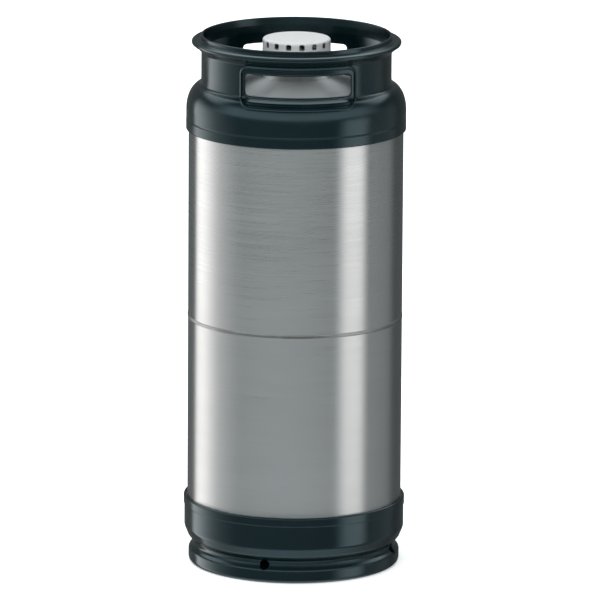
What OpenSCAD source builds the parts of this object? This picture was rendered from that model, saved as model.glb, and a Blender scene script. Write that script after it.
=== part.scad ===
// Slim 20 litre beer keg: a welded steel vessel with moulded top and bottom chimes,
// a screwed-in extractor valve with its down tube, and a slotted dust cap.
// Z is up, the foot stands on z = 0, and the two hand holes face -Y and +Y.

/* [Vessel] */
// Outside diameter of the steel vessel
vessel_d = 237; // [234:0.5:240]
// Sheet thickness of both deep-drawn halves
vessel_wall = 1.5; // [1.2:0.1:2]
// Overall height, from the foot to the top of the lip
keg_h = 594; // [580:1:620]
// Top of the upper dome, measured down from the lip
crown_drop = 42; // [40:1:46]
// Bottom of the lower dome, above the foot
crown_lift = 17; // [15:0.5:17]
// Height of the weld that joins the two halves
seam_z = 279; // [260:1:310]
// Width of the weld bead
seam_w = 4.2; // [3:0.2:6]
// Crown radius of both domes
crown_r = 200; // [198:1:208]
// Knuckle radius of both domes
knuckle_r = 30; // [28:1:30]

/* [Top chime] */
// Height of the top chime, from its lower edge to the lip
collar_h = 105.4; // [104:0.2:107]
// Outside diameter of the collar's lower band
collar_d = 242.8; // [241:0.2:245]
// Outside diameter of the upright neck wall
grip_wall_d = 209.6; // [208:0.2:212]
// Thickness of the upright neck wall
grip_wall = 4; // [3.5:0.1:5]
// Outside diameter of the stacking flange
flange_d = 230.8; // [229:0.2:233]

/* [Hand holes] */
// Width of each hand hole, straight across
hand_w = 114.6; // [105:0.2:116]
// Height of each hand hole at the neck wall
hand_h = 23.6; // [22:0.1:24]
// Corner radius of each hand hole
hand_corner = 4; // [3.5:0.5:7]
// Width of the raised frame, outside
frame_w = 127; // [125:0.5:132]
// Height of the raised frame, outside
frame_h = 46.4; // [44:0.2:48]
// How far the frame stands out of the wall
frame_rise = 1.6; // [1:0.1:2]

/* [Bottom chime] */
// Height of the bottom chime
chime_h = 75.4; // [74:0.2:78]
// Outside diameter of its upper lip
chime_lip_d = 245.2; // [244:0.2:247]
// Outside diameter of its wall
chime_d = 243.6; // [243:0.2:245]
// Outside diameter of the foot ring
foot_d = 234; // [232:0.5:236]
// Diameter at the waist above the foot ring
waist_d = 223.2; // [222:0.2:226]
// Inside diameter of the foot ring
foot_inner_d = 214; // [213:0.5:215]
// Diameter of each drain hole
drain_d = 11; // [9:0.5:13]
// Number of drain holes
drain_count = 4; // [3:1:6]

/* [Valve] */
// Outside radius of the welded neck
neck_r = 35; // [34.5:0.1:35.5]
// Bore radius that takes the coupler
coupler_r = 21.8; // [21.5:0.1:22]
// Radius of the product ball
ball_r = 8; // [7.9:0.05:8.1]
// Outside radius of the down tube
tube_r = 7.5; // [7.4:0.05:7.6]
// Number of slots round the dust cap
cap_slots = 16; // [12:1:18]

/* [Hidden] */

vessel_r = vessel_d / 2;
collar_r = collar_d / 2;
grip_r = grip_wall_d / 2;
flange_r = flange_d / 2;
glue = 0.5;                                   // thickness of the adhesive under each chime
knuckle_at = vessel_r - knuckle_r;            // radius of the knuckle's centre circle
crown_a = asin(knuckle_at / (crown_r - knuckle_r));
dome_h = crown_r - (crown_r - knuckle_r) * cos(crown_a);
top_tan = keg_h - crown_drop - dome_h;        // where the upper dome leaves the cylinder
bottom_tan = crown_lift + dome_h;             // where the lower dome leaves the cylinder
collar_z = keg_h - collar_h;                  // lower edge of the top chime

// Heights of the neck, all measured from the lip down
neck_top = keg_h - 11;
neck_foot = keg_h - 51;
seal_z = keg_h - 20.5;                        // ledge that carries the neck seal
seat_z = keg_h - 21;                          // face that the coupler's seal presses on
thread_end = keg_h - 41;
housing_foot = keg_h - 48;
cage_foot = keg_h - 86;

bore_r = 28.4;                                // thread minor radius in the neck
thread_depth = 1.2;
thread_pitch = 2.309;                         // 11 threads to the inch
thread_gap = 0.1;
chamber_r = 23;                               // valve chamber inside the housing
throat_r = 15.6;
seat_t = 3;                                   // thickness of the plate the valve seals on
rubber_r = 19.5;
rubber_hole_r = 7.4;
cup_in_r = 8.8;
cup_out_r = 9.8;
cup_flange_r = 16.5;
cup_top = seat_z - seat_t - 5.5;
cup_floor = cup_top - 21.5;
tube_end = crown_lift + vessel_wall + 9.5;
ball_z = cup_top - 0.05 - sqrt(ball_r * ball_r - rubber_hole_r * rubber_hole_r);
cap_r = 37.6;
cap_wall = 1.2;
cap_round = 3;                                // rounding of its upper edge
cap_top = keg_h - 3.5;
cap_foot = keg_h - 32;

deck_r = 82;                                  // the collar's deck runs in to here on the dome
deck_edge = 1.2;                              // thickness of the deck's inner edge
deck_z = crown_z(deck_r) + glue + deck_edge;
hand_top = keg_h - 28;                        // upper edge of the hand hole
hand_foot = hand_top - hand_h;                // its lower edge at the neck wall
frame_top = keg_h - 18;
band_step = 0.2;                               // the collar's lower band stands this far out of its wall
sill_r = grip_r + 11.5;                       // the sill slopes down over the shoulder to here
sill_drop = 8;
drain_z = 20;  
first_slot = 0.35;                            // where the dust cap's first slot lies, as a share of their spacing
first_drain = -17.6;                          // angle of the first drain hole from the front

STEEL = [0.66, 0.68, 0.69];
BLACK = [0.10, 0.12, 0.13];

// ---- outlines -------------------------------------------------------------

// Points on an ellipse's arc, centre c, from angle a to angle b in n steps
function arc(c, rx, rz, a, b, n) =
    [for (i = [0:n]) let (t = a + (b - a) * i / n) [c[0] + rx * cos(t), c[1] + rz * sin(t)]];

// A dome's outline above its tangent plane, pushed out by off: the knuckle, then the crown to the axis
function whole_dome(off, n = 10) = concat(
    arc([knuckle_at, 0], knuckle_r + off, knuckle_r + off, 0, 90 - crown_a, n),
    [for (i = [1:n]) let (t = crown_a * (1 - i / n))
        [(crown_r + off) * sin(t), dome_h - crown_r + (crown_r + off) * cos(t)]]);

// The part of it that lies outside radius r_end. Every piece shares its corners, so they lie flush
function dome(off, r_end) =
    let (pts = whole_dome(off), kept = [for (p = pts) if (p[0] > r_end) p],
         a = pts[len(kept) - 1], b = pts[len(kept)])
    concat(kept, [a + (b - a) * (a[0] - r_end) / (a[0] - b[0])]);

function lift(pts, z) = [for (p = pts) [p[0], z + p[1]]];
function drop(pts, z) = [for (p = pts) [p[0], z - p[1]]];
function back(pts) = [for (i = [len(pts) - 1:-1:0]) pts[i]];

// Height of the upper dome's outside at radius r on its crown
function crown_z(r) = keg_h - crown_drop - crown_r + sqrt(crown_r * crown_r - r * r);

// The collar's outside from the band to the upright wall, pushed out by off
shoulder_z = collar_z + 22.9;
shoulder_rx = collar_r - band_step - grip_r + 0.4;
shoulder_rz = 27.5;
function shoulder(off) = concat(
    arc([grip_r - 0.4, shoulder_z], shoulder_rx + off, shoulder_rz + off, 0, 80, 10),
    [[grip_r + 1.1 + off, shoulder_z + 28.8 + off * 0.7], [grip_r + off, shoulder_z + 33]]);

// ---- vessel ---------------------------------------------------------------

module turned(pts) { rotate_extrude($fn = 128) polygon(pts); }

module shell_half(tan_z, seam_edge, up, hole_r) {
    outer = dome(0, hole_r);
    inner = dome(-vessel_wall, hole_r);
    turned(concat(
        [[vessel_r, seam_edge]],
        up ? lift(outer, tan_z) : drop(outer, tan_z),
        up ? lift(back(inner), tan_z) : drop(back(inner), tan_z),
        [[vessel_r - vessel_wall, seam_edge]]));
}

module upper_shell() { color(STEEL) shell_half(top_tan, seam_z + seam_w / 2, true, neck_r); }

module lower_shell() { color(STEEL) shell_half(bottom_tan, seam_z - seam_w / 2, false, 0); }

module centre_weld() {
    crown = 0.5;                              // the bead stands this far out of the wall
    color([0.6, 0.61, 0.62]) turned(concat(
        arc([vessel_r, seam_z], crown, seam_w / 2, -90, 90, 8),
        arc([vessel_r - vessel_wall, seam_z], crown, seam_w / 2, 90, 270, 8)));
}

// ---- chimes ---------------------------------------------------------------

// A rectangle with round corners, kept exact
module round_rect(w, h, r) {
    square([w - 2 * r, h], center = true);
    square([w, h - 2 * r], center = true);
    for (x = [-1, 1], z = [-1, 1]) translate([x * (w / 2 - r), z * (h / 2 - r)]) circle(r, $fn = 48);
}

// Runs a flat shape drawn in X and Z through the collar's front half
module through_front(near = 60, far = 130) {
    translate([0, -near, 0]) rotate([90, 0, 0]) linear_extrude(far - near) children();
}

module collar_body() {
    lip_r = grip_r + 0.5;
    inner_r = grip_r - grip_wall;
    turned(concat(
        [[vessel_r + glue, collar_z], [collar_r - 1.2, collar_z], [collar_r, collar_z + 2.4],
         [collar_r, collar_z + 10.8], [collar_r - band_step - 0.5, collar_z + 11.8],
         [collar_r - band_step - 0.5, collar_z + 12.4], [collar_r - band_step, collar_z + 13]],
        shoulder(0),
        [[grip_r, keg_h - 18.5], [grip_r + 0.6, keg_h - 16.6], [grip_r + 5.7, keg_h - 12.5],
         [flange_r - 1.2, keg_h - 10.1]],
        arc([flange_r - 2.5, keg_h - 7.9], 2.5, 2.5, -30, 90, 6),
        [[grip_r + 2, keg_h - 5.4], [grip_r + 1.2, keg_h - 5.8]],
        [[lip_r, keg_h - 5], [lip_r, keg_h - 1.2]],
        arc([lip_r - 1.2, keg_h - 1.2], 1.2, 1.2, 30, 150, 4),
        [[inner_r + 0.9, keg_h - 8], [inner_r, keg_h - 16]],
        arc([inner_r - 4, deck_z + 4], 4, 4, 0, -90, 4),
        [[deck_r, deck_z]],
        lift(back(dome(glue, deck_r)), top_tan)));
}

// The raised frame round one hand hole, standing out of the wall and the shoulder
module hand_frame() {
    mid_z = frame_top - frame_h / 2;
    intersection() {
        turned(concat(
            shoulder(frame_rise), [[grip_r + frame_rise, frame_top + 3]],
            [[grip_r - 1, frame_top + 3]], back(shoulder(-1))));
        through_front() translate([0, mid_z]) round_rect(frame_w, frame_h, 12);
    }
}

module hand_cut() {
    run_out = 10;                             // the cutter's length past the sill's outer edge
    slope = sill_drop / (sill_r - grip_r);
    through_front() translate([0, hand_top - hand_h / 2]) round_rect(hand_w, hand_h, hand_corner);
    // the sill falls away over the shoulder, between the sides of the frame
    intersection() {
        rotate_extrude($fn = 128)
            polygon([[grip_r, hand_foot], [sill_r + run_out, hand_foot - slope * (sill_r + run_out - grip_r)],
                     [sill_r + run_out, hand_top], [grip_r, hand_top]]);
        through_front() translate([0, hand_top - (hand_h + sill_drop) / 2])
            round_rect(hand_w, hand_h + sill_drop, hand_corner);
    }
}

module top_chime() {
    color(BLACK) difference() {
        union() {
            collar_body();
            for (a = [0, 180]) rotate(a) hand_frame();
        }
        for (a = [0, 180]) rotate(a) hand_cut();
    }
}

module bottom_chime() {
    lip_r = chime_lip_d / 2;
    wall_r = chime_d / 2;
    foot_r = foot_d / 2;
    waist_r = waist_d / 2;
    inner_r = foot_inner_d / 2;
    color(BLACK) difference() {
        turned(concat(
            [[inner_r, 1], [inner_r + 1, 0]],
            arc([foot_r - 6, 6], 6, 6, -90, 0, 6),
            arc([foot_r - 4, 11], 4, 4, 0, 60, 4),
            [[waist_r + 1.4, 18.4]],
            arc([waist_r + 1.6, 20.8], 1.8, 2.0, 230, 130, 4),
            [[wall_r - 3, 31.2]],
            arc([wall_r - 9, 40], 9, 9, -45, 0, 5),
            [[wall_r, chime_h - 10.4], [lip_r, chime_h - 9.2], [lip_r, chime_h - 2.4]],
            arc([lip_r - 2.4, chime_h - 2.4], 2.4, 2.4, 20, 90, 4),
            [[vessel_r + glue, chime_h]],
            drop(dome(glue, inner_r - 2.5), bottom_tan)));
        for (i = [0:drain_count - 1])
            rotate(first_drain + i * 360 / drain_count) translate([0, -95, drain_z])
                rotate([90, 0, 0]) cylinder(h = 30, d = drain_d, $fn = 48);
    }
}

// The adhesive band between a chime and the vessel, following the knuckle
function glue_line(r_end, skirt) = concat(
    [[vessel_r, -skirt], [vessel_r + glue, -skirt]], dome(glue, r_end), back(dome(0, r_end)));

module upper_adhesive() {
    color([0.8, 0.78, 0.7]) turned(lift(glue_line(deck_r + 2, top_tan - collar_z - 2), top_tan));
}

module lower_adhesive() {
    color([0.8, 0.78, 0.7]) turned(drop(glue_line(foot_inner_d / 2 - 1, chime_h - bottom_tan - 2), bottom_tan));
}

// ---- neck and valve -------------------------------------------------------

// V threads drawn as rings, from z0 up to z1, standing out from radius r by depth
function rings(r, depth, z0, z1) = [
    for (i = [0:floor((z1 - z0) / thread_pitch) - 1], k = [0:2])
        [r + (k == 1 ? depth : 0), z0 + (i + [0.08, 0.5, 0.92][k]) * thread_pitch]];

module neck_socket() {
    flange = neck_r + 1;
    pocket_r = 30.6;                          // counterbore for the housing's flange
    groove_r = 31.6;                          // groove for the lock ring
    color([0.72, 0.73, 0.74]) turned(concat(
        [[bore_r, neck_foot], [neck_r, neck_foot], [neck_r, neck_top - 7], [flange, neck_top - 6],
         [flange, neck_top - 0.8], [flange - 0.8, neck_top], [pocket_r, neck_top],
         [pocket_r, neck_top - 0.7], [groove_r, neck_top - 0.7], [groove_r, neck_top - 2.3],
         [pocket_r, neck_top - 2.3], [pocket_r, seal_z], [bore_r, seal_z]],
        back(rings(bore_r, thread_depth, thread_end, seal_z - 1))));
}

module neck_weld() {
    leg = 4.5;
    n = 4;
    color([0.6, 0.61, 0.62]) turned(concat(
        [for (i = [0:n]) let (r = neck_r + leg * i / n) [r, crown_z(r) + 0.02]],
        [[neck_r + leg * 0.45, crown_z(neck_r) + leg * 0.45], [neck_r, crown_z(neck_r) + leg]]));
}

module neck_seal() {
    color([0.12, 0.12, 0.12]) translate([0, 0, seal_z]) difference() {
        cylinder(h = 2, r = 30.5, $fn = 96);
        translate([0, 0, -1]) cylinder(h = 4, r = 29.8, $fn = 96);
    }
}

module valve_housing() {
    rim_r = 27.5;
    flange = 30.3;
    top = keg_h - 9.5;
    lug_r = 25;
    core_r = bore_r - thread_gap - thread_depth * 0.1;
    color([0.7, 0.71, 0.72]) difference() {
        turned(concat(
            [[coupler_r, top], [coupler_r, top - 5], [lug_r, top - 5.5], [lug_r, seat_z],
             [throat_r, seat_z], [throat_r, seat_z - seat_t], [chamber_r, seat_z - seat_t],
             [chamber_r, housing_foot], [26.5, housing_foot], [26.5, thread_end], [core_r, thread_end]],
            rings(core_r, thread_depth, thread_end, seal_z - 1),
            [[core_r, seal_z], [29.6, seal_z], [29.6, seal_z + 2.05], [flange, seal_z + 2.05],
             [flange, neck_top - 2.4], [rim_r, neck_top - 2.4], [rim_r, top - 0.6], [rim_r - 0.6, top]]));
        // two entries for the coupler's lugs, and four slots for the fitting spanner
        for (a = [0, 180]) rotate(a) translate([0, -6.5, top - 6]) cube([lug_r, 13, 8]);
        for (a = [45:90:315]) rotate(a) translate([rim_r - 2.6, -2.5, top - 2]) cube([5, 5, 4]);
    }
}

module lock_ring() {
    color([0.55, 0.56, 0.58]) rotate(12) rotate_extrude(angle = 336, $fn = 96)
        translate([28.2, neck_top - 2.2]) square([3.2, 1.4]);
}

module spring_cage() {
    cage_r = 24.5;
    floor_t = 3;
    color([0.68, 0.69, 0.7]) difference() {
        translate([0, 0, cage_foot]) cylinder(h = housing_foot - cage_foot, r = cage_r, $fn = 96);
        translate([0, 0, cage_foot + floor_t]) cylinder(h = 60, r = cage_r - 2, $fn = 96);
        translate([0, 0, cage_foot - 1]) cylinder(h = 6, r = tube_r + 0.3, $fn = 64);
        for (a = [0, 90]) rotate(a) translate([-30, -7, cage_foot + 8]) cube([60, 14, 22]);
    }
}

module gas_valve_seal() {
    gap = 0.05;
    top = seat_z - 0.6;
    color([0.1, 0.1, 0.1]) turned([
        [rubber_hole_r, cup_top], [rubber_r, cup_top], [rubber_r, seat_z - seat_t - gap - 0.8],
        [rubber_r - 0.8, seat_z - seat_t - gap], [throat_r - 0.4, seat_z - seat_t - gap],
        [throat_r - 0.4, top - 0.8], [throat_r - 1.2, top], [rubber_hole_r + 2, top],
        [rubber_hole_r, top - 2]]);
}

module valve_cup() {
    flange_t = 1.5;
    sleeve_r = tube_r + 1;
    sleeve_foot = cup_floor - 12;
    color([0.7, 0.71, 0.72]) turned([
        [cup_in_r, cup_top], [cup_flange_r, cup_top], [cup_flange_r, cup_top - flange_t],
        [cup_out_r, cup_top - flange_t], [cup_out_r, cup_floor - 1], [sleeve_r, cup_floor - 3],
        [sleeve_r, sleeve_foot], [tube_r, sleeve_foot], [tube_r, cup_floor - 2],
        [tube_r - 0.9, cup_floor - 2], [tube_r - 0.9, cup_floor], [cup_in_r, cup_floor]]);
}

module down_tube() {
    top = cup_floor - 2;
    color([0.72, 0.73, 0.74]) difference() {
        translate([0, 0, tube_end]) cylinder(h = top - tube_end, r = tube_r, $fn = 64);
        translate([0, 0, tube_end - 1]) cylinder(h = top - tube_end + 2, r = tube_r - 0.9, $fn = 64);
        // slanting cut at the foot, so that the tube never seals on the dome
        translate([0, 0, tube_end]) rotate([0, 24, 0]) translate([-20, -20, -30]) cube([40, 40, 30]);
    }
}

// A round-wire helix with flat closed ends, standing on z = 0
module helix(mean_r, wire_r, height, turns, sides = 8, steps = 28) {
    n = turns * steps;
    rise = height - 2 * wire_r;
    function ease(t) = t < 0.12 ? t * t / 0.24 : (t > 0.88 ? 0.88 - (1 - t) * (1 - t) / 0.24 : t - 0.06);
    pts = [for (i = [0:n], k = [0:sides - 1])
        let (t = i / n, a = 360 * turns * t, b = 360 * k / sides,
             z = wire_r + rise * ease(t) / 0.88, r = mean_r + wire_r * cos(b))
        [r * cos(a), r * sin(a), z + wire_r * sin(b)]];
    walls = [for (i = [0:n - 1], k = [0:sides - 1])
        let (p = i * sides + k, q = i * sides + (k + 1) % sides) [p, p + sides, q + sides, q]];
    first = [for (k = [0:sides - 1]) k];
    last = [for (k = [sides - 1:-1:0]) n * sides + k];
    polyhedron(points = pts, faces = concat(walls, [first], [last]), convexity = 10);
}

module gas_spring() {
    foot = cage_foot + 3;
    color([0.6, 0.61, 0.63]) translate([0, 0, foot + 0.02])
        helix(13.5, 1.1, cup_top - 1.5 - foot - 0.04, 7);
}

module product_ball() { color([0.8, 0.81, 0.82]) translate([0, 0, ball_z]) sphere(ball_r, $fn = 64); }

module ball_spring() {
    color([0.6, 0.61, 0.63]) translate([0, 0, cup_floor + 0.02]) helix(6.9, 0.5, 13.85, 5);
}

module dust_cap() {
    bead_r = neck_r + 1.15;
    inner_r = cap_r - cap_wall;
    slot_w = 6;
    slot_h = 6.8;
    slot_top = cap_top - 2;
    color([0.88, 0.88, 0.87]) difference() {
        turned(concat(
            [[0, cap_top - 1.8], [0, cap_top]],
            back(arc([cap_r - cap_round, cap_top - cap_round], cap_round, cap_round, 0, 90, 6)),
            [[cap_r, cap_foot + 3], [cap_r + 0.6, cap_foot + 2.4], [cap_r + 0.6, cap_foot],
             [inner_r, cap_foot], [inner_r, cap_foot + 10], [bead_r, cap_foot + 11],
             [bead_r, cap_foot + 12], [inner_r, cap_foot + 13], [inner_r, cap_top - 1.8]]));
        for (i = [0:cap_slots - 1]) rotate((i + first_slot) * 360 / cap_slots)
            translate([cap_r - 4, -slot_w / 2, slot_top - slot_h]) cube([6, slot_w, slot_h]);
    }
}

upper_shell();
lower_shell();
centre_weld();
top_chime();
bottom_chime();
upper_adhesive();
lower_adhesive();
neck_socket();
neck_weld();
neck_seal();
valve_housing();
lock_ring();
spring_cage();
gas_valve_seal();
valve_cup();
down_tube();
gas_spring();
product_ball();
ball_spring();
dust_cap();
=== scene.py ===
import math

import bmesh
import bpy
from mathutils import Matrix, Vector


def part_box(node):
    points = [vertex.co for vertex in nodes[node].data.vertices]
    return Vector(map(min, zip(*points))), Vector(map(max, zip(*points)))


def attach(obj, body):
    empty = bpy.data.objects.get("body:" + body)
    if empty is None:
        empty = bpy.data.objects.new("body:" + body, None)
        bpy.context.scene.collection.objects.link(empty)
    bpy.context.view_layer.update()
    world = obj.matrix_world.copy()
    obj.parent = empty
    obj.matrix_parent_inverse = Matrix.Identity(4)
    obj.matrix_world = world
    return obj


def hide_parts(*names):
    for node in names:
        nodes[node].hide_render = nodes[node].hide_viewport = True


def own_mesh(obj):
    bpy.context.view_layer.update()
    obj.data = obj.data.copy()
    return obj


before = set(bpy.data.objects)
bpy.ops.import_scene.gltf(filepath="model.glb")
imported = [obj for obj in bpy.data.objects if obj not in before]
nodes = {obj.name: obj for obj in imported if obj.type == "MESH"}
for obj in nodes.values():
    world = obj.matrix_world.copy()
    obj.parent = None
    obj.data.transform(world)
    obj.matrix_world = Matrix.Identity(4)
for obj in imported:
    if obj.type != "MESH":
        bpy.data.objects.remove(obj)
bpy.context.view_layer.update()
MM = 0.001                           # lengths below are in millimetres where nothing else is said
SIDES = 288                          # steps round the keg's axis
SMOOTH_ANGLE = math.radians(32)      # edges sharper than this are drawn sharp


# ---------------------------------------------------------------- frame sizes, in millimetres

def edges(node):
    """A node's outer radius, lowest z and highest z."""
    low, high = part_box(node)
    return high.x / MM, low.z / MM, high.z / MM


collar_r, collar_z, lip_z = edges("top_chime")
chime_lip_r, _, chime_z = edges("bottom_chime")
vessel_r, upper_z, _ = edges("upper_shell")
lower_z0, lower_z1 = edges("lower_shell")[1:]
cap_r, cap_foot_z, cap_top_z = edges("dust_cap")
bead_r, seam_z0, seam_z1 = edges("centre_weld")
WELD_LEG = 4.5
neck_r = edges("neck_weld")[0] - WELD_LEG
CROWN_R, KNUCKLE_R, WALL = 200.0, 30.0, 1.5
CROWN_DROP = 42.0            # from the lip down to the top of the upper dome, if it had no neck
CROWN_Z = lip_z - CROWN_DROP
GRIP_R, INNER_R = 104.8, 100.8       # upright wall of the collar, outside and inside
DECK_R, DECK_T = 82.0, 1.7   # inner edge of the collar's deck, and its height over the dome there
GLUE_GAP = 0.5               # between the vessel and a chime


def crown_z(r):
    """Height of the upper dome's outside at radius r."""
    return CROWN_Z - CROWN_R + math.sqrt(CROWN_R ** 2 - r * r)


DECK_Z = crown_z(DECK_R) + DECK_T


# ---------------------------------------------------------------- mesh helpers

def arc(cx, cz, rx, rz, a, b, n):
    """Points on an ellipse's arc from angle a to angle b, in degrees."""
    steps = [math.radians(a + (b - a) * i / n) for i in range(n + 1)]
    return [(cx + rx * math.cos(t), cz + rz * math.sin(t)) for t in steps]


def rounded(corners):
    """A closed outline from corners (r, z) or (r, z, fillet). Straight stretches get a point near each end,
    which keeps their shading flat."""
    most_steps, finest = 6, 0.12         # on a fillet: most steps, and about the shortest one
    pad = 0.35                           # from a straight stretch's end to its extra point
    points = []
    count = len(corners)
    for i, corner in enumerate(corners):
        p = Vector(corner[:2])
        fillet = corner[2] if len(corner) > 2 else 0
        if not fillet:
            points.append(p)
            continue
        a = Vector(corners[i - 1][:2]) - p
        b = Vector(corners[(i + 1) % count][:2]) - p
        half = a.angle(b) / 2
        reach = min(fillet / math.tan(half), a.length * 0.49, b.length * 0.49)
        radius = reach * math.tan(half)
        a.normalize()
        b.normalize()
        centre = p + (a + b).normalized() * radius / math.sin(half)
        start, end = p + a * reach - centre, p + b * reach - centre
        turn = start.angle_signed(end)
        steps = max(2, min(most_steps, round(abs(turn) * radius / finest)))
        for k in range(steps + 1):
            t = -turn * k / steps
            points.append(centre + Vector((start.x * math.cos(t) - start.y * math.sin(t),
                                           start.x * math.sin(t) + start.y * math.cos(t))))
    out = []
    for i, p in enumerate(points):
        out.append(p)
        q = points[(i + 1) % len(points)]
        gap = (q - p).length
        if gap > 4 * pad:
            out += [p + (q - p) * pad / gap, q - (q - p) * pad / gap]
    return [(p.x, p.y) for p in out]


def new_object(name, bm):
    """Makes an object from a bmesh in millimetres."""
    bmesh.ops.scale(bm, vec=(MM, MM, MM), verts=bm.verts)
    mesh = bpy.data.meshes.new(name)
    finish_mesh(bm)
    bm.to_mesh(mesh)
    bm.free()
    piece = bpy.data.objects.new(name, mesh)
    bpy.context.scene.collection.objects.link(piece)
    return piece


def finish_mesh(bm):
    """Turns the faces outward, and shades them smooth except at sharp edges."""
    bmesh.ops.recalc_face_normals(bm, faces=bm.faces)
    for face in bm.faces:
        face.smooth = True
    for edge in bm.edges:
        edge.smooth = len(edge.link_faces) == 2 and edge.calc_face_angle(0) < SMOOTH_ANGLE


def grid_mesh(rings, close_rings=True):
    """Joins equal rings of points into a surface. Each ring is closed, and so is the row of rings, unless
    close_rings is off."""
    bm = bmesh.new()
    rows = [[bm.verts.new(p) for p in ring] for ring in rings]
    count = len(rows)
    for i in range(count if close_rings else count - 1):
        a, b = rows[i], rows[(i + 1) % count]
        for k in range(len(a)):
            m = (k + 1) % len(a)
            bm.faces.new((a[k], a[m], b[m], b[k]))
    bmesh.ops.remove_doubles(bm, verts=bm.verts, dist=1e-4)
    return bm


def revolve(outline, steps=SIDES):
    """Turns a closed outline of (r, z) about the keg's axis."""
    angles = [math.tau * k / steps for k in range(steps)]
    return grid_mesh([[(r * math.cos(t), r * math.sin(t), z) for t in angles] for r, z in outline])


def boolean(piece, tool, operation):
    """Applies a boolean, then removes the tool."""
    modifier = piece.modifiers.new(operation, "BOOLEAN")
    modifier.operation = operation
    modifier.solver = "EXACT"
    modifier.object = tool
    graph = bpy.context.evaluated_depsgraph_get()
    result = bpy.data.meshes.new_from_object(piece.evaluated_get(graph))
    piece.modifiers.clear()
    piece.data = result
    bpy.data.objects.remove(tool)


SMALL_PART = 100         # faces


def loose_bits(bm):
    """The faces of the small parts that a boolean leaves beside a piece."""
    bits, seen = [], set()
    for face in bm.faces:
        part, waiting = [], [] if face in seen else [face]
        seen.add(face)
        while waiting:
            part.append(waiting.pop())
            for edge in part[-1].edges:
                fresh = [other for other in edge.link_faces if other not in seen]
                seen.update(fresh)
                waiting += fresh
        if len(part) < SMALL_PART:
            bits += part
    return bits


def tidy(piece):
    """Welds a boolean's slivers, drops its loose bits and sets which edges are sharp."""
    bm = bmesh.new()
    bm.from_mesh(piece.data)
    bmesh.ops.remove_doubles(bm, verts=bm.verts, dist=0.02 * MM)
    bmesh.ops.dissolve_degenerate(bm, edges=bm.edges, dist=0.01 * MM)
    bmesh.ops.delete(bm, geom=loose_bits(bm), context="FACES")
    finish_mesh(bm)
    bm.to_mesh(piece.data)
    bm.free()


def give(piece, material, slot, body, *replaced):
    """Sets a piece's material, the body it rides on and the nodes it stands for. The slot is not used."""
    piece.data.materials.clear()
    piece.data.materials.append(material)
    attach(piece, body)
    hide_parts(*replaced)


# ---------------------------------------------------------------- materials

class Shader:
    """A principled material with short calls for its nodes."""

    def __init__(self, name, **values):
        self.material = bpy.data.materials.new(name)
        self.material.use_nodes = True
        self.tree = self.material.node_tree
        self.surface = self.tree.nodes["Principled BSDF"]
        for key, value in values.items():
            self.surface.inputs[key.replace("_", " ")].default_value = value

    def node(self, kind, **inputs):
        made = self.tree.nodes.new(kind)
        for key, value in inputs.items():
            self.feed(made.inputs[key.replace("_", " ")], value)
        return made

    def feed(self, socket, value):
        if isinstance(value, bpy.types.NodeSocket):
            self.tree.links.new(value, socket)
        else:
            socket.default_value = value

    def math(self, operation, a, b=0.0):
        made = self.tree.nodes.new("ShaderNodeMath")
        made.operation = operation
        self.feed(made.inputs[0], a)
        self.feed(made.inputs[1], b)
        return made.outputs[0]

    def place(self):
        return self.tree.nodes.new("ShaderNodeTexCoord").outputs["Object"]

    def noise(self, vector, scale, detail, rough):
        made = self.node("ShaderNodeTexNoise", Vector=vector, Scale=scale, Detail=detail, Roughness=rough)
        return made.outputs["Fac"]

    def spread(self, value, low, high, a=0.0, b=1.0):
        """Maps value from low..high to a..b, and holds it there."""
        made = self.tree.nodes.new("ShaderNodeMapRange")
        for socket, number in zip(made.inputs[:5], (value, low, high, a, b)):
            self.feed(socket, number)
        return made.outputs[0]

    def blend(self, factor, a, b):
        made = self.tree.nodes.new("ShaderNodeMix")
        made.data_type = "RGBA"
        self.feed(made.inputs[0], factor)
        self.feed(made.inputs[6], a)
        self.feed(made.inputs[7], b)
        return made.outputs[2]

    def bump(self, height, depth_mm):
        made = self.node("ShaderNodeBump", Height=height, Strength=1.0, Distance=depth_mm * MM)
        self.tree.links.new(made.outputs[0], self.surface.inputs["Normal"])

    def set(self, socket, value):
        self.feed(self.surface.inputs[socket], value)


def grey(value, tint=(1, 1, 1)):
    return (value * tint[0], value * tint[1], value * tint[2], 1)


# How much rougher the vessel is: between two heights in metres, the roughness added at the first and last
WALL_WEAR, DOME_WEAR = (0.08, 0.46, 0.045, -0.03), (0.505, 0.53, 0.0, 0.3)
DUST_TONE = 0.25


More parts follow.
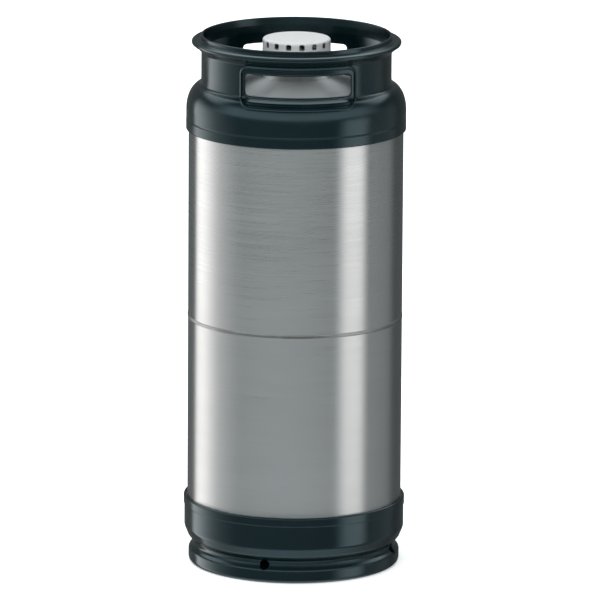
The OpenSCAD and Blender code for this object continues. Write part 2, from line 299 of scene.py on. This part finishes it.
def brushed_steel(name, tone, rough, lines=850.0, depth=0.006, streak=0.85, worn=False):
    """Steel brushed round the keg's axis: the lines run round the wall and in rings on the domes.
    Lines is about how many a metre has, depth is theirs in mm, and streak is the anisotropy. Worn steel is
    coarser low on the wall, and much coarser on the upper dome."""
    s = Shader(name, Metallic=1.0, Anisotropic=streak, Anisotropic_Rotation=0.25)
    place = s.place()
    x, y, z = s.node("ShaderNodeSeparateXYZ", Vector=place).outputs
    flat = s.math("SQRT", s.math("ADD", s.math("MULTIPLY", x, x), s.math("MULTIPLY", y, y)))
    along = s.math("ADD", z, flat)               # up the wall, and outward on a dome

    def stretched(across, density):
        """Coordinates that make a noise into lines: few waves a metre across, and many along."""
        return s.node("ShaderNodeCombineXYZ", X=s.math("MULTIPLY", x, across),
                      Y=s.math("MULTIPLY", y, across), Z=s.math("MULTIPLY", along, density)).outputs[0]

    fine = s.noise(stretched(9.0, lines), 1.0, 4.0, 0.6)
    bands = s.noise(stretched(3.0, lines * 0.08), 1.0, 2.0, 0.5)
    smear = s.noise(place, 7.0, 3.0, 0.55)
    tangent = s.tree.nodes.new("ShaderNodeTangent")
    tangent.direction_type = "RADIAL"
    tangent.axis = "Z"
    s.set("Tangent", tangent.outputs[0])
    both = s.math("ADD", s.math("MULTIPLY", fine, 0.75), s.math("MULTIPLY", bands, 0.25))
    s.set("Base Color", s.blend(s.spread(both, 0.3, 0.7), grey(tone * 0.96), grey(tone * 1.04)))
    uneven = s.spread(smear, 0.35, 0.65, -0.01, 0.02)
    if worn:
        uneven = s.math("ADD", uneven, s.spread(z, *WALL_WEAR))
        uneven = s.math("ADD", uneven, s.spread(z, *DOME_WEAR))
    s.set("Roughness", s.math("ADD", s.spread(fine, 0.3, 0.7, rough - 0.04, rough + 0.05), uneven))
    s.bump(both, depth)
    return s.material


def weld_steel(name, tone):
    """A weld bead: ripples across it, and a little heat tint."""
    s = Shader(name, Metallic=1.0)
    place = s.place()
    ripple = s.noise(place, 420.0, 2.0, 0.5)
    patch = s.noise(place, 40.0, 3.0, 0.6)
    straw = grey(tone * 0.8, (1.02, 0.99, 0.95))
    s.set("Base Color", s.blend(s.spread(patch, 0.4, 0.65), grey(tone), straw))
    s.set("Roughness", s.spread(ripple, 0.3, 0.7, 0.3, 0.48))
    s.bump(ripple, 0.05)
    return s.material


def moulded_plastic(name, colour, rough, grain_mm, dust, tint=(1, 1, 1, 1)):
    """Moulded plastic: a fine grain, slightly uneven gloss, and faint scuffs that dust makes pale."""
    s = Shader(name, IOR=1.65, Specular_Tint=tint)
    place = s.place()
    grain = s.noise(place, 900.0, 4.0, 0.6)
    waves = s.noise(place, 26.0, 3.0, 0.5)
    scuff = s.noise(place, 130.0, 6.0, 0.7)
    pale = tuple(c * (1 - dust) + DUST_TONE * dust for c in colour[:3]) + (1,)
    s.set("Base Color", s.blend(s.spread(s.math("MULTIPLY", scuff, waves), 0.26, 0.5), colour, pale))
    s.set("Roughness", s.math("ADD", s.spread(waves, 0.35, 0.65, rough - 0.04, rough + 0.05),
                              s.spread(scuff, 0.5, 0.75, 0.0, 0.05)))
    s.bump(grain, grain_mm)
    return s.material


def rubber(name, tone):
    """Rubber or cured glue: matt, with a pale bloom."""
    s = Shader(name)
    place = s.place()
    bloom = s.noise(place, 90.0, 4.0, 0.6)
    s.set("Base Color", s.blend(s.spread(bloom, 0.4, 0.75), grey(tone), grey(tone * 1.8)))
    s.set("Roughness", s.spread(bloom, 0.3, 0.7, 0.5, 0.66))
    s.bump(s.noise(place, 700.0, 3.0, 0.5), 0.02)
    return s.material


steel = brushed_steel("vessel_steel_brushed", 0.52, 0.30, streak=0.967, worn=True)
turned_steel = brushed_steel("turned_steel", 0.62, 0.22, lines=2200.0, depth=0.004)
wire_steel = brushed_steel("wire_steel", 0.48, 0.28, lines=600.0, depth=0.003)
ball_steel = brushed_steel("ball_steel", 0.72, 0.1, lines=400.0, depth=0.001)
bead_steel = weld_steel("weld_steel", 0.36)
black_plastic = moulded_plastic("chime_black", (0.0009, 0.0052, 0.0060, 1), 0.17, 0.004, 0.008,
                                (0.48, 0.68, 0.76, 1))
cap_plastic = moulded_plastic("cap_pale", (0.55, 0.54, 0.543, 1), 0.42, 0.015, 0.1)
seal_rubber = rubber("seal_rubber", 0.02)
glue = rubber("cured_adhesive", 0.4)


# ---------------------------------------------------------------- vessel

def dome(r_end, off=0.0):
    """A dome's outline above its tangent plane, from the wall in to r_end, pushed out by off, and the
    dome's height."""
    n = 20                       # steps on the knuckle, and again on the crown
    at = vessel_r - KNUCKLE_R
    turn = math.degrees(math.asin(at / (CROWN_R - KNUCKLE_R)))
    height = CROWN_R - (CROWN_R - KNUCKLE_R) * math.cos(math.radians(turn))
    end = math.degrees(math.asin(r_end / (CROWN_R + off)))
    knuckle = arc(at, 0, KNUCKLE_R + off, KNUCKLE_R + off, 0, 90 - turn, n)
    crown = arc(0, height - CROWN_R, CROWN_R + off, CROWN_R + off, 90 - turn, 90 - end, n)
    return knuckle + crown[1:], height


def shell_half(name, seam_edge, tangent_z, sign, r_end):
    """One drawn half of the vessel, with its wall running from the seam to the dome."""
    outside, _ = dome(r_end)
    inside, _ = dome(r_end, -WALL)
    # the points 1 mm from the wall's ends keep its shading flat
    wall = [(vessel_r, seam_edge), (vessel_r, seam_edge + sign * 1.0), (vessel_r, tangent_z - sign * 1.0)]
    back = [(r - WALL, z) for r, z in reversed(wall)]
    outline = wall + [(r, tangent_z + sign * z) for r, z in outside]
    outline += [(r, tangent_z + sign * z) for r, z in reversed(inside)] + back
    give(new_object(name, revolve(outline)), steel, "vessel_steel", "keg", name.replace("_skin", ""))


def vessel():
    """The two drawn halves and the girth weld between them."""
    height, on_axis = dome(neck_r)[1], 0.01
    shell_half("upper_shell_skin", upper_z, CROWN_Z - height, 1, neck_r)
    shell_half("lower_shell_skin", lower_z1, lower_z0 + height, -1, on_axis)
    # the weld has a bead outside and another inside
    middle, half = (seam_z0 + seam_z1) / 2, (seam_z1 - seam_z0) / 2
    bulge = bead_r - vessel_r
    outline = arc(vessel_r, middle, bulge, half, -90, 90, 12)
    outline += arc(vessel_r - WALL, middle, bulge, half, 90, 270, 12)
    give(new_object("centre_weld_bead", revolve(outline)), bead_steel, "weld_steel", "keg", "centre_weld")


# ---------------------------------------------------------------- top chime

BAND_STEP = 0.2              # the collar's lower band stands this far out of its wall
TUCK = 0.4                   # the shoulder's arc ends this far inside the grip's wall
SHOULDER_Z = collar_z + 22.9     # the shoulder is a quarter ellipse from here up
SHOULDER_H = 27.5
SHOULDER_W = collar_r - BAND_STEP - GRIP_R + TUCK


def collar_outside(z):
    """Radius of the collar's outside at height z, from the band up to the flange."""
    if z <= SHOULDER_Z:
        return collar_r - BAND_STEP
    rise = (z - SHOULDER_Z) / SHOULDER_H
    if rise >= 1:
        return GRIP_R
    return max(GRIP_R, GRIP_R - TUCK + SHOULDER_W * math.sqrt(1 - rise * rise))


def collar_outline():
    """The collar's section, as corners of radius, height and fillet."""
    tangent_z = CROWN_Z - dome(neck_r)[1]
    under, _ = dome(DECK_R, GLUE_GAP)
    band_r, wall_r = collar_r - 0.05, collar_r - BAND_STEP
    band = [(vessel_r + GLUE_GAP, collar_z, 0.4), (band_r, collar_z, 3.2), (band_r, collar_z + 10.9, 0.9),
            (wall_r - 0.5, collar_z + 11.7, 0.4), (wall_r, collar_z + 12.9, 0.6)]
    shoulder = [(GRIP_R - TUCK + SHOULDER_W * math.cos(math.radians(a)),
                 SHOULDER_Z + SHOULDER_H * math.sin(math.radians(a))) for a in range(0, 70, 3)]
    grip = [(GRIP_R + 0.3, SHOULDER_Z + 27.7, 4.0), (GRIP_R, SHOULDER_Z + 36.0, 2.0),
            (GRIP_R, lip_z - 18.2, 3.0)]
    # the flange has a shallow groove on its upper face
    flange = [(GRIP_R + 6.2, lip_z - 12.6, 4.0), (GRIP_R + 10.6, lip_z - 9.6, 2.2),
              (GRIP_R + 10.6, lip_z - 6.6, 1.6), (GRIP_R + 6.4, lip_z - 5.4, 0.8),
              (GRIP_R + 5.6, lip_z - 6.1, 0.3), (GRIP_R + 3.6, lip_z - 6.1, 0.3),
              (GRIP_R + 2.8, lip_z - 5.2, 0.6), (GRIP_R + 0.5, lip_z - 5.0, 0.8)]
    lip = [(GRIP_R + 0.5, lip_z, 1.3), (GRIP_R - 1.9, lip_z, 1.1), (INNER_R + 0.9, lip_z - 8.0, 3.0),
           (INNER_R, lip_z - 16.0, 4.0)]
    deck = [(INNER_R, DECK_Z, 4.0), (DECK_R, DECK_Z, 0.4)]
    on_dome = [(r, tangent_z + z) for r, z in reversed(under)]
    return rounded(band + shoulder + grip + flange + lip + deck + on_dome)


# The hand hole in the grip's wall, and the raised frame round it: top, foot and half the width
HOLE_TOP = lip_z - 28.0
HOLE_FOOT = HOLE_TOP - 23.6
HOLE_HALF_W = 57.3
RIM_TOP = lip_z - 18.0
RIM_FOOT = RIM_TOP - 46.4
RIM_HALF_W = 63.5


def box_ring(half_w, low, high, corner):
    """Points (x, z) round a box with round corners. Every box has the same number of points."""
    steps, wide, tall = 12, 45, 16       # in a corner, along a level side and along an upright side
    middle, half_h = (low + high) / 2, (high - low) / 2
    ring = []
    for sx, sz, a, count in ((1, 1, 0, wide), (-1, 1, 90, tall), (-1, -1, 180, wide), (1, -1, 270, tall)):
        cx, cz = sx * (half_w - corner), sz * (half_h - corner)
        ring += [(cx + corner * math.cos(math.radians(a + 90 * i / steps)),
                  cz + corner * math.sin(math.radians(a + 90 * i / steps))) for i in range(steps + 1)]
        x, z = ring[-1]
        nx, nz = {0: (-half_w + corner, half_h), 90: (-half_w, -half_h + corner),
                  180: (half_w - corner, -half_h), 270: (half_w, half_h - corner)}[a]
        ring += [(x + (nx - x) * k / count, z + (nz - z) * k / count) for k in range(1, count)]
    return [(x, middle + z) for x, z in ring]


def frame_ring(share, radius, corner):
    """A ring between the hand hole (share 0) and the frame's outer edge (share 1), at radius(z) from the
    keg's axis."""
    half_w = HOLE_HALF_W + (RIM_HALF_W - HOLE_HALF_W) * share
    low = HOLE_FOOT + (RIM_FOOT - HOLE_FOOT) * share
    high = HOLE_TOP + (RIM_TOP - HOLE_TOP) * share
    return [(x, -math.sqrt(radius(z) ** 2 - x * x), z) for x, z in box_ring(half_w, low, high, corner)]


def turned_rings(rings, turn):
    """The rings turned about the keg's axis: the hand hole is there in front and at the back."""
    place = Matrix.Rotation(turn, 3, "Z")
    return [[place @ Vector(p) for p in ring] for ring in rings]


# The frame's section: share of the way out from the hole, height over the collar, corner radius.
# A height past OWN_RADIUS is a radius of its own, for the part of the ring that lies inside the wall.
OWN_RADIUS = 50
FRAME_SECTION = [(1.05, -1.6, 10.5), (1.04, 0.3, 10.5), (1.0, 1.1, 10.3), (0.93, 1.6, 10.0),
                 (0.84, 1.7, 9.4), (0.74, 1.2, 8.6), (0.62, 0.1, 7.6), (0.46, -0.7, 6.5),
                 (0.34, -0.6, 5.8), (0.26, -0.15, 5.3), (0.18, 0.0, 4.9), (0.1, -0.35, 4.5),
                 (0.03, -1.1, 4.1), (0.0, -2.0, 4.0), (0.0, 102.0, 4.0), (0.02, 101.3, 4.0),
                 (0.08, 100.8, 4.2), (0.18, 100.6, 4.6), (0.3, 100.65, 5.2), (0.36, 101.8, 5.6)]
CUTTER_SECTION = [(-0.06, 70.0), (0.2, 99.0), (0.2, 104.5), (0.62, 117.0), (0.62, 132.0)]   # share, radius
CUTTER_CORNER = 4.8


def frame_rings():
    """The raised frame and the hand hole's lining, as rings from outside to inside the wall."""
    rings = []
    for share, height, corner in FRAME_SECTION:
        if height > OWN_RADIUS:
            rings.append(frame_ring(share, lambda z, r=height: r, corner))
        else:
            rings.append(frame_ring(share, lambda z, h=height: collar_outside(z) + h, corner))
    return rings


def cutter_rings():
    """A hole a little larger than the frame's inner edge, so that the frame lines it."""
    return [frame_ring(share, lambda z, r=radius: r, CUTTER_CORNER) for share, radius in CUTTER_SECTION]


def top_chime():
    """The collar, with a framed hand hole in front and another at the back."""
    chime = new_object("collar", revolve(collar_outline()))
    for turn in (0, math.pi):
        bm = grid_mesh(turned_rings(cutter_rings(), turn), close_rings=False)
        bmesh.ops.holes_fill(bm, edges=[e for e in bm.edges if e.is_boundary])
        boolean(chime, new_object("cutter", bm), "DIFFERENCE")
        boolean(chime, new_object("bezel", grid_mesh(turned_rings(frame_rings(), turn))), "UNION")
    tidy(chime)
    give(chime, black_plastic, "chime_plastic", "keg", "top_chime")


# ---------------------------------------------------------------- bottom chime

FIRST_DRAIN, DRAINS = -17.6, 4       # the first hole, in degrees from the front
DRAIN_R, DRAIN_Z = 5.5, 20.0
FOOT_BORE_R = 107.0          # the recess under the keg


def bottom_outline():
    """The foot's section, as corners of radius, height and fillet."""
    tangent_z = lower_z0 + dome(neck_r)[1]
    under, _ = dome(FOOT_BORE_R - 5.0, GLUE_GAP)
    wall_r = chime_lip_r - 0.8
    ring = [(FOOT_BORE_R, 0, 1.0), (117.0, 0, 6.0), (117.0, 14.8, 4.0), (113.3, 18.2, 0.8)]
    groove = [(111.7, 20.8, 2.2), (112.8, 24.6, 1.8), (117.9, 31.0, 4.0), (wall_r, 40.5, 10.0)]
    band = [(wall_r, chime_z - 9.9, 0.6), (chime_lip_r, chime_z - 9.2, 0.5), (chime_lip_r, chime_z, 2.6),
            (vessel_r + GLUE_GAP, chime_z, 0.4)]
    on_dome = [(r, tangent_z - z) for r, z in under if tangent_z - z < chime_z - 1 and r > FOOT_BORE_R]
    return rounded(ring + groove + band + on_dome + [(FOOT_BORE_R, on_dome[-1][1])])


def bottom_chime():
    """The foot, with its drain holes."""
    chime = new_object("foot", revolve(bottom_outline()))
    level = Matrix.Rotation(math.pi / 2, 4, "X")
    drill, wall_middle = 30, -110        # length of the cutter, and where its middle is
    for i in range(DRAINS):
        turn = math.radians(FIRST_DRAIN + i * 360 / DRAINS)
        bm = bmesh.new()
        bmesh.ops.create_cone(bm, cap_ends=True, segments=48, radius1=DRAIN_R, radius2=DRAIN_R, depth=drill)
        place = Matrix.Rotation(turn, 4, "Z") @ Matrix.Translation((0, wall_middle, DRAIN_Z)) @ level
        bmesh.ops.transform(bm, matrix=place, verts=bm.verts)
        boolean(chime, new_object("drain", bm), "DIFFERENCE")
    tidy(chime)
    give(chime, black_plastic, "chime_plastic", "keg", "bottom_chime")


# ---------------------------------------------------------------- dust cap

SLOTS, FIRST_SLOT = 16, 0.35         # the first slot stands this share of a step round
SLOT_SIZE = (6, 6, 6.8)              # depth, width and height of the cutter
SLOT_DROP = 5.4                      # from the cap's top down to a slot's middle
CAP_BEAD, CAP_RIM, CAP_TOP = 0.6, 1.8, 1.8       # bead outside the foot, foot's whole thickness, top's


def dust_cap():
    """The cap, with a snap bead inside and a row of slots under its rounded top edge."""
    r, inner, under = cap_r - CAP_BEAD, cap_r - CAP_RIM, cap_top_z - CAP_TOP
    inside = [(0, under), (inner, under, 1.0), (inner, cap_foot_z + 13, 0.4),
              (inner - 0.25, cap_foot_z + 11.5, 0.4), (inner, cap_foot_z + 10, 0.4),
              (inner, cap_foot_z, 0.4)]
    outside = [(cap_r, cap_foot_z, 0.5), (cap_r, cap_foot_z + 2.6, 0.5), (r, cap_foot_z + 3.4, 0.6),
               (r, cap_top_z, 3.0), (r - 7, cap_top_z - 0.35, 3.0), (0, cap_top_z)]
    cap = new_object("cap", revolve(rounded(inside + outside), 192))
    for i in range(SLOTS):
        bm = bmesh.new()
        bmesh.ops.create_cube(bm, size=1)
        place = (Matrix.Rotation(math.radians(360 / SLOTS * (i + FIRST_SLOT)), 4, "Z")
                 @ Matrix.Translation((cap_r - 1, 0, cap_top_z - SLOT_DROP))
                 @ Matrix.Diagonal((*SLOT_SIZE, 1)))
        bmesh.ops.transform(bm, matrix=place, verts=bm.verts)
        level = [e for e in bm.edges if abs(e.verts[0].co.z - e.verts[1].co.z) < 0.01]
        bmesh.ops.bevel(bm, geom=level, offset=0.9, segments=4, affect="EDGES")
        boolean(cap, new_object("slot", bm), "DIFFERENCE")
    tidy(cap)
    give(cap, cap_plastic, "cap_plastic", "cap", "dust_cap")


# ---------------------------------------------------------------- springs

def coil_spring(node, body, turns, wire_r):
    """A round-wire spring with flat closed ends."""
    sides, steps, closed = 12, 40, 0.12          # closed: the share of the wire in each flat end
    low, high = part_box(node)
    mean_r, rise = high.x / MM - wire_r, (high.z - low.z) / MM - 2 * wire_r
    count = turns * steps
    section = [(wire_r * math.cos(math.tau * k / sides), wire_r * math.sin(math.tau * k / sides))
               for k in range(sides)]
    rings = []
    for i in range(count + 1):
        t = i / count
        climb = t - closed / 2
        if t < closed:
            climb = t * t / closed / 2
        elif t > 1 - closed:
            climb = 1 - closed - (1 - t) ** 2 / closed / 2
        turn, z = math.tau * turns * t, low.z / MM + wire_r + rise * climb / (1 - closed)
        rings.append([((mean_r + out) * math.cos(turn), (mean_r + out) * math.sin(turn), z + up)
                      for out, up in section])
    bm = grid_mesh(rings, close_rings=False)
    bmesh.ops.holes_fill(bm, edges=[e for e in bm.edges if e.is_boundary])
    piece = new_object(node + "_coil", bm)
    give(piece, wire_steel, "spring_steel", body, node)
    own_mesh(piece)


# ---------------------------------------------------------------- inner pieces, kept as the frame has them

def dress_nodes():
    looks = ((turned_steel, ("neck_socket", "valve_housing", "spring_cage", "valve_cup", "down_tube")),
             (bead_steel, ("neck_weld",)), (wire_steel, ("lock_ring",)), (ball_steel, ("product_ball",)),
             (seal_rubber, ("neck_seal", "gas_valve_seal")), (glue, ("upper_adhesive", "lower_adhesive")))
    for material, names in looks:
        for name in names:
            for slot in nodes[name].material_slots:
                slot.material = material


# ---------------------------------------------------------------- stage, lights and camera

FLOOR_REACH = 30000          # half the floor's side, so that its edge is never seen
# the painted shadow under the keg: its radius, and its height over the floor
SHADOW_PATCH_R, SHADOW_PATCH_Z = 112, 0.2


def floor():
    """A plain pale floor. Mirror-like surfaces see the studio through it, as if it were a small table.
    A grey patch under the keg is painted shadow, which keeps the recess and the drain holes dark."""
    bm = bmesh.new()
    bmesh.ops.create_grid(bm, x_segments=1, y_segments=1, size=FLOOR_REACH)
    piece = new_object("floor", bm)
    s = Shader("floor_pale", Base_Color=grey(0.93), Roughness=0.9, Emission_Color=grey(1.0),
               Emission_Strength=0.3)
    piece.data.materials.append(s.material)
    piece.visible_glossy = False
    # painted shadow: a grey disc that does not glow, where the keg's own shade would fall on the floor
    bm = bmesh.new()
    bmesh.ops.create_circle(bm, cap_ends=True, segments=64, radius=SHADOW_PATCH_R)
    bmesh.ops.translate(bm, vec=(0, 0, SHADOW_PATCH_Z), verts=bm.verts)
    patch = new_object("painted_shadow_under_keg", bm)
    patch.data.materials.append(Shader("floor_painted_shadow", Base_Color=grey(0.3), Roughness=0.9).material)


def overhead(strength):
    """One broad soft light above the keg, which keeps the floor evenly pale."""
    data = bpy.data.lights.new("overhead", "SUN")
    data.energy = strength
    data.angle = math.radians(70)
    lamp = bpy.data.objects.new("overhead", data)
    lamp.rotation_euler = (math.radians(14), math.radians(-10), 0)
    lamp.visible_glossy = False
    bpy.context.scene.collection.objects.link(lamp)


VIEW_TURN = math.radians(-1.2)   # the camera stands this far round from the middle of the hand hole
# The studio's walls, soft boxes and lamps. Each has four edges in azimuth, in degrees from the front with
# the right side positive, four in height, as the sine of the elevation, and a strength. It fades in between
# the first two edges and out between the last two.
ALL_ROUND = (-400, -390, 390, 400)
SOFT_BOXES = (((-110, -70, 70, 110), (0.12, 0.28, 0.5, 0.75), 1.2),      # a wide one high in front
              (ALL_ROUND, (-2, -1.5, -0.9, -0.6), 1.1),                  # light from straight below
              ((84, 92, 118, 134), (-0.8, -0.5, 0.1, 0.35), 0.2))        # a weak one on the right
LAMPS = (((-137, -129, -127, -88), (-0.62, -0.42, 0.0, 0.2), 1.1),       # the bright edge on the left
         ((-137, -129, -120, -58), (-0.8, -0.5, 0.1, 0.35), 1.0),
         ((42, 60, 73, 88), (-0.62, -0.42, 0.0, 0.2), 1.55))             # the bright band on the right
AMBIENT, SIDE_FALL, REAR_FALL = 0.21, -0.06, -0.08       # brighter to the left and in front
CEILING = 1.5                                            # over the back only
COOL, WARM = (0.92, 1.0, 1.02), (1.01, 0.995, 0.98)      # tints of the boxes and of the lamps


class Sky(Shader):
    """A world whose light is drawn with the same short calls."""

    def __init__(self, name):
        self.world = bpy.data.worlds.new(name)
        self.world.use_nodes = True
        self.tree = self.world.node_tree
        self.back = self.tree.nodes["Background"]

    def ramp(self, value, low, high):
        """0 below low and 1 above high, with a smooth step between them."""
        made = self.tree.nodes.new("ShaderNodeMapRange")
        made.interpolation_type = "SMOOTHSTEP"
        for socket, number in zip(made.inputs[:5], (value, low, high, 0, 1)):
            self.feed(socket, number)
        return made.outputs[0]

    def window(self, value, fades):
        """Fades in over the first two edges and out over the last two."""
        fall = self.math("SUBTRACT", 1.0, self.ramp(value, fades[2], fades[3]))
        return self.math("MULTIPLY", self.ramp(value, fades[0], fades[1]), fall)


def studio():
    """What the keg reflects and is lit by. The camera itself sees an even pale grey."""
    s = Sky("studio")
    x, y, z = s.node("ShaderNodeSeparateXYZ",
                     Vector=s.tree.nodes.new("ShaderNodeTexCoord").outputs["Generated"]).outputs
    azimuth = s.math("SUBTRACT", s.math("ARCTAN2", x, s.math("MULTIPLY", y, -1.0)), VIEW_TURN)
    azimuth = s.math("MULTIPLY", azimuth, math.degrees(1))

    def add_windows(light, windows):
        for around, upright, strength in windows:
            box = s.math("MULTIPLY", s.window(azimuth, around), s.window(z, upright))
            light = s.math("ADD", light, s.math("MULTIPLY", box, strength))
        return light

    falls = s.math("ADD", s.math("MULTIPLY", x, SIDE_FALL), s.math("MULTIPLY", y, REAR_FALL))
    ambient = add_windows(s.math("ADD", falls, AMBIENT), SOFT_BOXES)
    ceiling = s.math("MULTIPLY", s.ramp(z, 0.4, 0.55), s.ramp(y, 0.05, 0.4))
    ambient = s.math("ADD", ambient, s.math("MULTIPLY", ceiling, CEILING))
    lamps = add_windows(0.0, LAMPS)
    channels = {axis: s.math("ADD", s.math("MULTIPLY", ambient, c), s.math("MULTIPLY", lamps, w))
                for axis, c, w in zip("XYZ", COOL, WARM)}
    light = s.node("ShaderNodeCombineXYZ", **channels).outputs[0]
    seen = s.tree.nodes.new("ShaderNodeLightPath").outputs["Is Camera Ray"]
    s.feed(s.back.inputs["Color"], s.blend(seen, light, grey(0.93)))
    bpy.context.scene.world = s.world


def camera():
    """A long lens, a little above the keg, at the reference view. Lengths here are in metres."""
    distance, elevation, roll = 9.5, math.radians(12.49), math.radians(0.35)
    aside, middle_z = 2.1 * MM, 0.298            # what it aims at
    side = Vector((math.cos(VIEW_TURN), math.sin(VIEW_TURN), 0))
    front = Vector((math.sin(VIEW_TURN), -math.cos(VIEW_TURN), 0))
    target = side * aside + Vector((0, 0, middle_z))
    data = bpy.data.cameras.new("camera")
    data.sensor_width = 36
    data.lens = 520.4
    data.clip_end = 60
    made = bpy.data.objects.new("camera", data)
    made.location = target + (front * math.cos(elevation) + Vector((0, 0, math.sin(elevation)))) * distance
    aim = (target - made.location).to_track_quat("-Z", "Y").to_matrix().to_4x4()
    made.matrix_world = Matrix.Translation(made.location) @ aim @ Matrix.Rotation(roll, 4, "Z")
    bpy.context.scene.collection.objects.link(made)
    bpy.context.scene.camera = made


vessel()
top_chime()
bottom_chime()
dust_cap()
coil_spring("gas_spring", "keg", 7, 1.1)
coil_spring("ball_spring", "spear", 5, 0.5)
dress_nodes()
floor()
camera()
studio()
overhead(2.2)
bpy.context.scene.view_settings.view_transform = "Standard"
